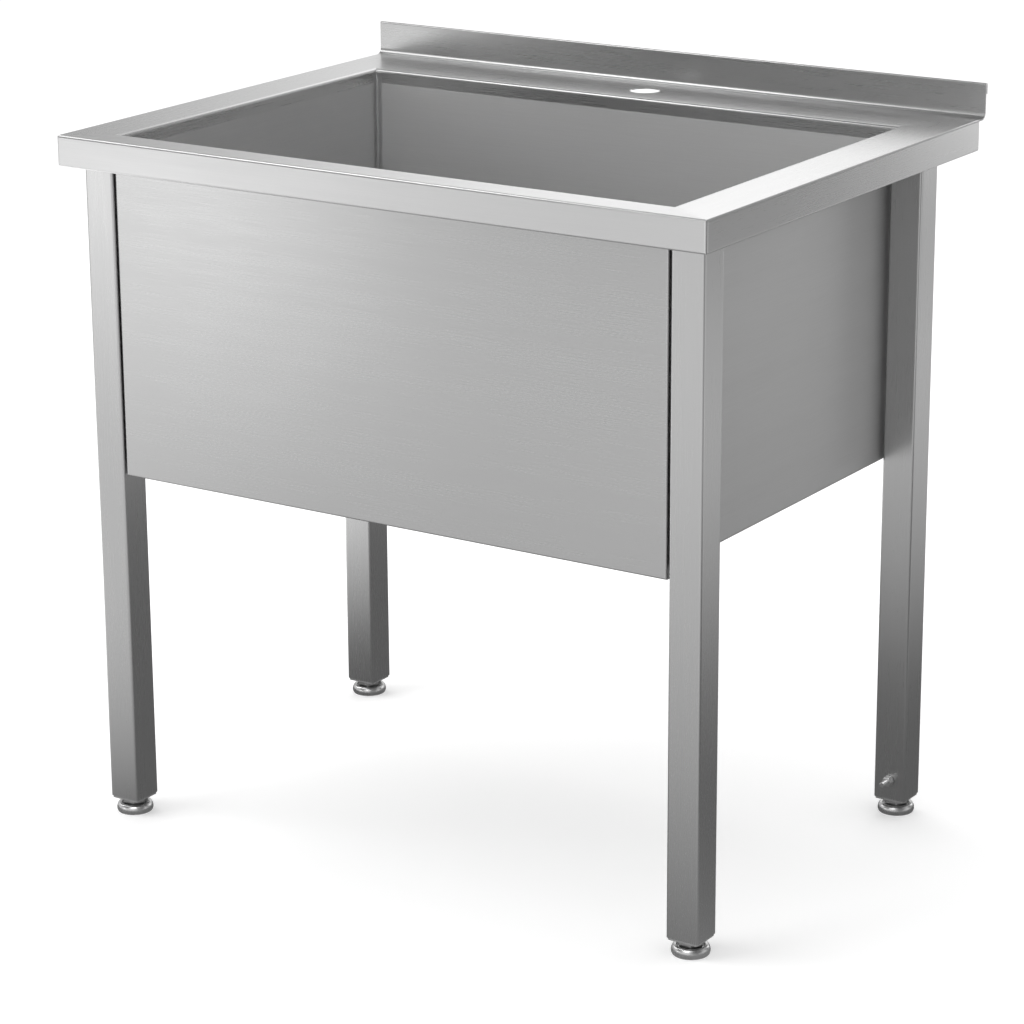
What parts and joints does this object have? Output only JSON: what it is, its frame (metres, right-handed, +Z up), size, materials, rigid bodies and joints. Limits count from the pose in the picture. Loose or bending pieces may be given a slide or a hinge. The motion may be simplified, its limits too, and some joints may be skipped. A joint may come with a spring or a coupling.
{
  "type": "utility laundry sink",
  "caption": "Free-standing stainless laundry sink: a deep rectangular bowl under a flat rim with a low upstand and a tap hole, a front panel, and square legs on screw feet.",
  "frame": {"origin": "on the floor, under the middle of the sink's overall plan, with the feet screwed home", "axes": "+X to the right seen from the front, +Y from the front to the wall, +Z up"},
  "size_m": [0.8, 0.604, 0.818],
  "materials": {
    "stainless_sheet": "fine-brushed stainless sheet, 1.5 mm",
    "stainless_tube": "lengthwise-brushed stainless square tube",
    "stainless_plate": "mill-finish stainless, hidden",
    "stainless_machined": "turned stainless",
    "stainless_fastener": "bright stainless fasteners",
    "stainless_polished": "polished stainless waste fitting",
    "seal_rubber": "black rubber seal",
    "ring_plastic": "plain slip ring",
    "nut_plastic": "moulded white nut"
  },
  "bodies": {
    "frame": {"rim_front": "stainless_sheet", "rim_left": "stainless_sheet", "rim_right": "stainless_sheet", "rear_deck": "stainless_sheet", "upstand": "stainless_sheet", "bowl_wall_left": "stainless_sheet", "bowl_wall_right": "stainless_sheet", "bowl_wall_front": "stainless_sheet", "bowl_wall_back": "stainless_sheet", "bowl_floor": "stainless_sheet", "front_panel": "stainless_sheet", "leg_front_left": "stainless_tube", "leg_socket_front_left": "stainless_plate", "leg_insert_front_left": "stainless_machined", "leg_front_right": "stainless_tube", "leg_socket_front_right": "stainless_plate", "leg_insert_front_right": "stainless_machined", "leg_rear_left": "stainless_tube", "leg_socket_rear_left": "stainless_plate", "leg_insert_rear_left": "stainless_machined", "leg_rear_right": "stainless_tube", "leg_socket_rear_right": "stainless_plate", "leg_insert_rear_right": "stainless_machined", "leg_screws": "stainless_fastener", "earth_stud": "stainless_fastener", "earth_washer": "stainless_fastener", "earth_nut": "stainless_fastener", "waste_body": "stainless_polished", "waste_top_seal": "seal_rubber", "waste_under_seal": "seal_rubber", "waste_friction_ring": "ring_plastic", "waste_locknut": "nut_plastic", "tail_washer": "seal_rubber", "tailpiece": "stainless_polished", "slip_nut": "nut_plastic"},
    "basket": {"basket_cup": "stainless_polished", "basket_seal": "seal_rubber", "basket_post": "stainless_polished"},
    "base_front_left": {"foot_base_front_left": "stainless_machined"},
    "screw_front_left": {"foot_screw_front_left": "stainless_machined"},
    "base_front_right": {"foot_base_front_right": "stainless_machined"},
    "screw_front_right": {"foot_screw_front_right": "stainless_machined"},
    "base_rear_left": {"foot_base_rear_left": "stainless_machined"},
    "screw_rear_left": {"foot_screw_rear_left": "stainless_machined"},
    "base_rear_right": {"foot_base_rear_right": "stainless_machined"},
    "screw_rear_right": {"foot_screw_rear_right": "stainless_machined"}
  },
  "joints": [
    {"name": "foot_front_left_travel", "type": "slide", "parent": "frame", "child": "base_front_left", "axis": [0, 0, -1], "range_m": [0, 0.024]},
    {"name": "foot_front_left_turn", "type": "hinge", "parent": "base_front_left", "child": "screw_front_left", "pos_m": [-0.365, -0.258, 0.0123], "axis": [0, 0, -1], "range_deg": [0, 5760]},
    {"name": "foot_front_right_travel", "type": "slide", "parent": "frame", "child": "base_front_right", "axis": [0, 0, -1], "range_m": [0, 0.024]},
    {"name": "foot_front_right_turn", "type": "hinge", "parent": "base_front_right", "child": "screw_front_right", "pos_m": [0.365, -0.258, 0.0123], "axis": [0, 0, -1], "range_deg": [0, 5760]},
    {"name": "foot_rear_left_travel", "type": "slide", "parent": "frame", "child": "base_rear_left", "axis": [0, 0, -1], "range_m": [0, 0.024]},
    {"name": "foot_rear_left_turn", "type": "hinge", "parent": "base_rear_left", "child": "screw_rear_left", "pos_m": [-0.365, 0.201, 0.0123], "axis": [0, 0, -1], "range_deg": [0, 5760]},
    {"name": "foot_rear_right_travel", "type": "slide", "parent": "frame", "child": "base_rear_right", "axis": [0, 0, -1], "range_m": [0, 0.024]},
    {"name": "foot_rear_right_turn", "type": "hinge", "parent": "base_rear_right", "child": "screw_rear_right", "pos_m": [0.365, 0.201, 0.0123], "axis": [0, 0, -1], "range_deg": [0, 5760]},
    {"name": "basket_lift", "type": "slide", "parent": "frame", "child": "basket", "axis": [0, 0, 1], "range_m": [0, 0.06]}
  ],
  "couplings": [
    {"joint": "foot_front_left_turn", "follows": "foot_front_left_travel", "rad_per_m": 4188.8},
    {"joint": "foot_front_right_turn", "follows": "foot_front_right_travel", "rad_per_m": 4188.8},
    {"joint": "foot_rear_left_turn", "follows": "foot_rear_left_travel", "rad_per_m": 4188.8},
    {"joint": "foot_rear_right_turn", "follows": "foot_rear_right_travel", "rad_per_m": 4188.8}
  ]
}
